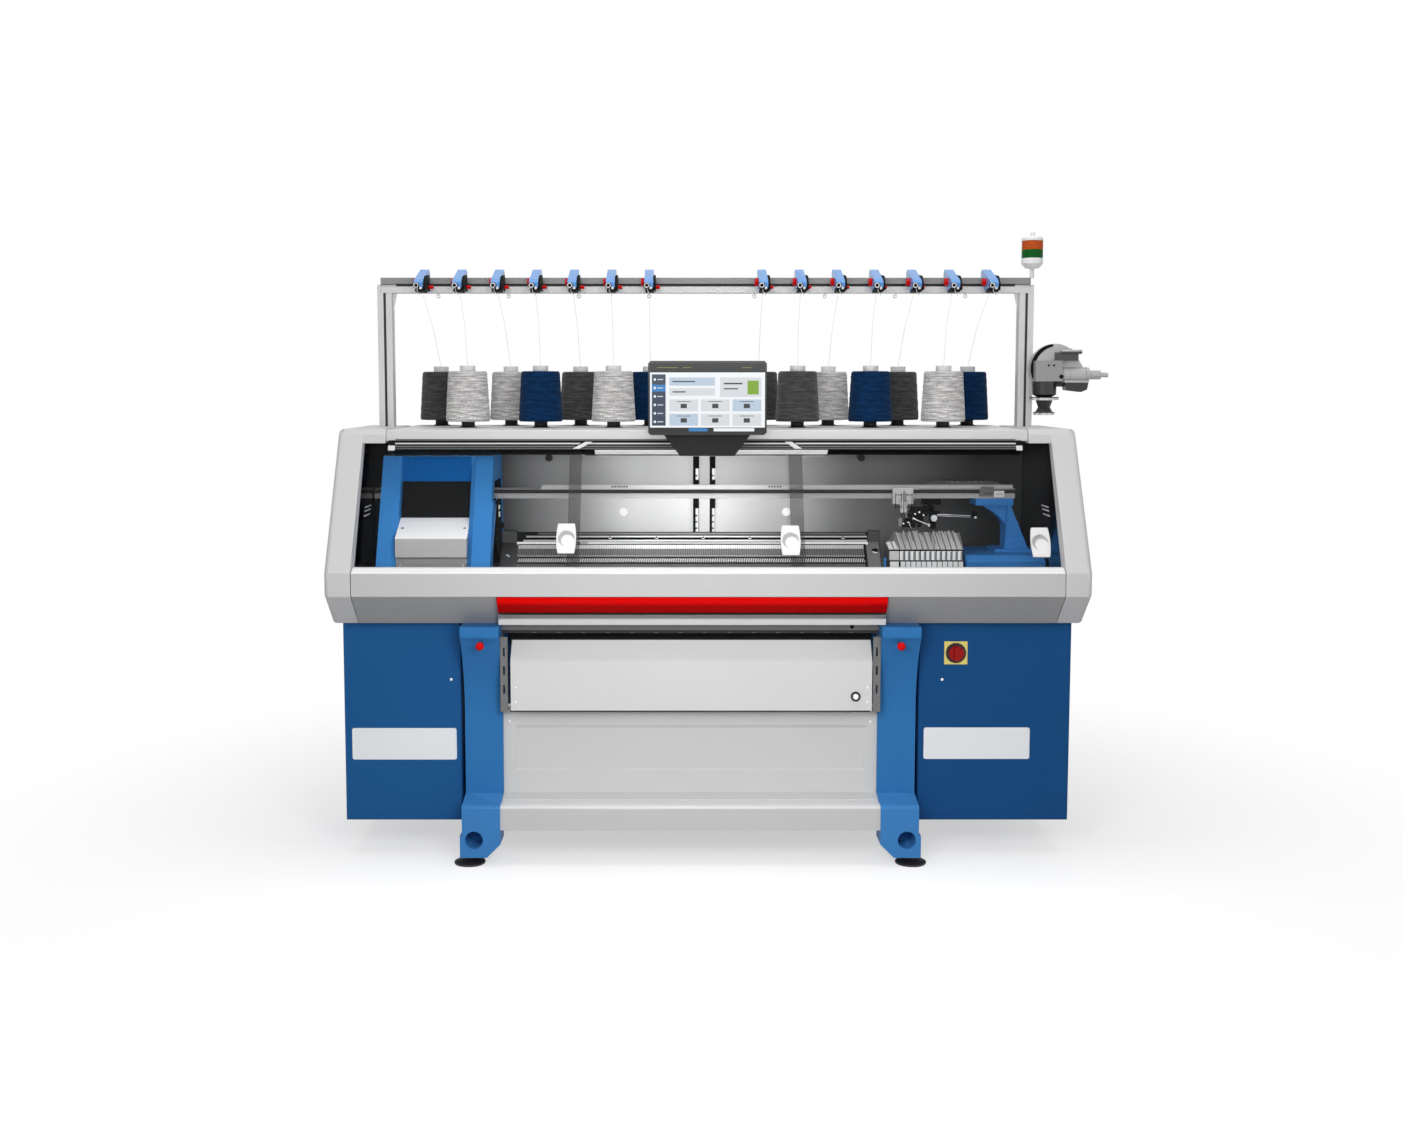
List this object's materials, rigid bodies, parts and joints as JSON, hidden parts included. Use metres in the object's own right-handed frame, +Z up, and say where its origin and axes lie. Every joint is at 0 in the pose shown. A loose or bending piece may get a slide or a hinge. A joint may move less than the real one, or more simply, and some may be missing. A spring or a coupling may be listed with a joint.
{
  "type": "flat knitting machine",
  "caption": "Flat knitting machine: grey shell with clear sliding doors on blue cabinets, travelling blue carriage over needle beds, yarn cones under a yarn frame, tilting display.",
  "frame": {"origin": "middle of the overall box's footprint, on the floor", "axes": "+X along the needle beds to the operator's right, +Y away from the operator, +Z up"},
  "size_m": [2.57, 0.894, 2.053],
  "materials": {
    "shell_paint": "satin light grey paint",
    "blue_paint": "satin blue paint",
    "dark_paint": "satin dark grey paint",
    "wall_paint": "satin grey paint",
    "aluminium": "anodised",
    "steel": "ground",
    "chrome": "polished",
    "black_plastic": "matt",
    "grey_plastic": "matt",
    "white_plastic": "smooth",
    "red_plastic": "smooth",
    "yellow_plastic": "smooth",
    "door_glass": "clear",
    "screen_plastic": "smooth",
    "lamp_white": "smooth",
    "yarn_light": "wound yarn",
    "yarn_dark": "wound yarn",
    "yarn_navy": "wound yarn",
    "rubber": "matt",
    "beacon_green": "translucent",
    "beacon_amber": "translucent"
  },
  "bodies": {
    "base": {"leg_left": "blue_paint", "leg_right": "blue_paint", "levelling_feet": "rubber", "base_crossbar": "shell_paint", "lower_panel": "shell_paint", "rear_panel": "shell_paint", "cabinet_left": "blue_paint", "cabinet_right": "blue_paint", "main_switch_plate": "yellow_plastic", "machine_bed": "dark_paint", "front_cover": "shell_paint", "lower_covers": "shell_paint", "side_shell_left": "shell_paint", "side_shell_right": "shell_paint", "yarn_table": "shell_paint", "back_wall": "wall_paint", "wall_fittings": "aluminium", "door_rails": "aluminium", "needle_bed_front": "steel", "needle_bed_rear": "steel", "comb_rails": "chrome", "bed_ends": "dark_paint", "guide_rails": "steel", "carrier_rails": "aluminium", "rail_stands": "blue_paint", "clamp_unit": "steel", "yarn_frame": "aluminium", "yarn_units": "blue_paint", "unit_knobs": "red_plastic", "cones_light": "yarn_light", "cones_dark": "yarn_dark", "cones_navy": "yarn_navy", "cone_stands": "black_plastic", "display_bracket": "dark_paint", "work_light": "lamp_white", "beacon_body": "white_plastic", "beacon_green": "beacon_green", "beacon_amber": "beacon_amber", "side_feeder": "grey_plastic"},
    "carriage": {"carriage_bow": "blue_paint", "carriage_hood": "shell_paint", "cam_boxes": "dark_paint"},
    "left_door": {"door_left": "door_glass", "handle_left": "white_plastic"},
    "middle_door": {"door_middle": "door_glass", "handle_middle": "white_plastic"},
    "right_door": {"door_right": "door_glass", "handle_right": "white_plastic"},
    "screen": {"display": "screen_plastic"},
    "start_bar": {"red_bar": "red_plastic"},
    "cover": {"fabric_cover": "shell_paint"},
    "lock": {"cover_lock": "chrome"},
    "front_roller": {"takedown_roller_front": "rubber"},
    "rear_roller": {"takedown_roller_rear": "rubber"},
    "left_knob": {"pull_knob_left": "red_plastic"},
    "right_knob": {"pull_knob_right": "red_plastic"},
    "switch": {"main_switch_knob": "red_plastic"},
    "carrier_1": {"yarn_carrier_1": "grey_plastic"},
    "carrier_2": {"yarn_carrier_2": "grey_plastic"},
    "wheels": {"feeder_wheels": "black_plastic"}
  },
  "joints": [
    {"name": "carriage_slide", "type": "slide", "parent": "base", "child": "carriage", "axis": [1, 0, 0], "range_m": [0, 1.27]},
    {"name": "left_door_slide", "type": "slide", "parent": "base", "child": "left_door", "axis": [1, 0, 0], "range_m": [0, 1.4]},
    {"name": "middle_door_slide", "type": "slide", "parent": "base", "child": "middle_door", "axis": [1, 0, 0], "range_m": [-0.64, 0.78]},
    {"name": "right_door_slide", "type": "slide", "parent": "base", "child": "right_door", "axis": [1, 0, 0], "range_m": [-1.36, 0]},
    {"name": "screen_tilt", "type": "hinge", "parent": "base", "child": "screen", "pos_m": [-0.085, -0.211, 1.412], "axis": [1, 0, 0], "range_deg": [-15, 4]},
    {"name": "start_bar_press", "type": "hinge", "parent": "base", "child": "start_bar", "pos_m": [-0.085, -0.388, 0.863], "axis": [1, 0, 0], "range_deg": [0, 10], "stiffness_Nm_per_rad": 20, "springref_deg": -5.73},
    {"name": "cover_tilt", "type": "hinge", "parent": "base", "child": "cover", "pos_m": [-0.14, -0.353, 0.514], "axis": [1, 0, 0], "range_deg": [0, 45]},
    {"name": "lock_turn", "type": "hinge", "parent": "cover", "child": "lock", "pos_m": [0.385, -0.373, 0.546], "axis": [0, 1, 0], "range_deg": [0, 90]},
    {"name": "front_roller_turn", "type": "hinge", "parent": "base", "child": "front_roller", "pos_m": [-0.14, -0.1045, 0.69], "axis": [1, 0, 0], "continuous": true},
    {"name": "rear_roller_turn", "type": "hinge", "parent": "base", "child": "rear_roller", "pos_m": [-0.14, -0.0535, 0.69], "axis": [1, 0, 0], "continuous": true},
    {"name": "left_knob_pull", "type": "slide", "parent": "base", "child": "left_knob", "axis": [0, -1, 0], "range_m": [0, 0.015], "stiffness_N_per_m": 500, "springref_m": -0.006},
    {"name": "right_knob_pull", "type": "slide", "parent": "base", "child": "right_knob", "axis": [0, -1, 0], "range_m": [0, 0.015], "stiffness_N_per_m": 500, "springref_m": -0.006},
    {"name": "switch_turn", "type": "hinge", "parent": "base", "child": "switch", "pos_m": [0.718, -0.29, 0.67], "axis": [0, 1, 0], "range_deg": [0, 90]},
    {"name": "carrier_1_slide", "type": "slide", "parent": "base", "child": "carrier_1", "axis": [1, 0, 0], "range_m": [-1.25, 0.1]},
    {"name": "carrier_2_slide", "type": "slide", "parent": "base", "child": "carrier_2", "axis": [1, 0, 0], "range_m": [-1.35, 0.1]},
    {"name": "feeder_wheels_turn", "type": "hinge", "parent": "base", "child": "wheels", "pos_m": [1.071, 0.067, 1.45], "axis": [0, 0, 1], "continuous": true}
  ],
  "couplings": [
    {"joint": "rear_roller_turn", "follows": "front_roller_turn", "ratio": -1}
  ]
}
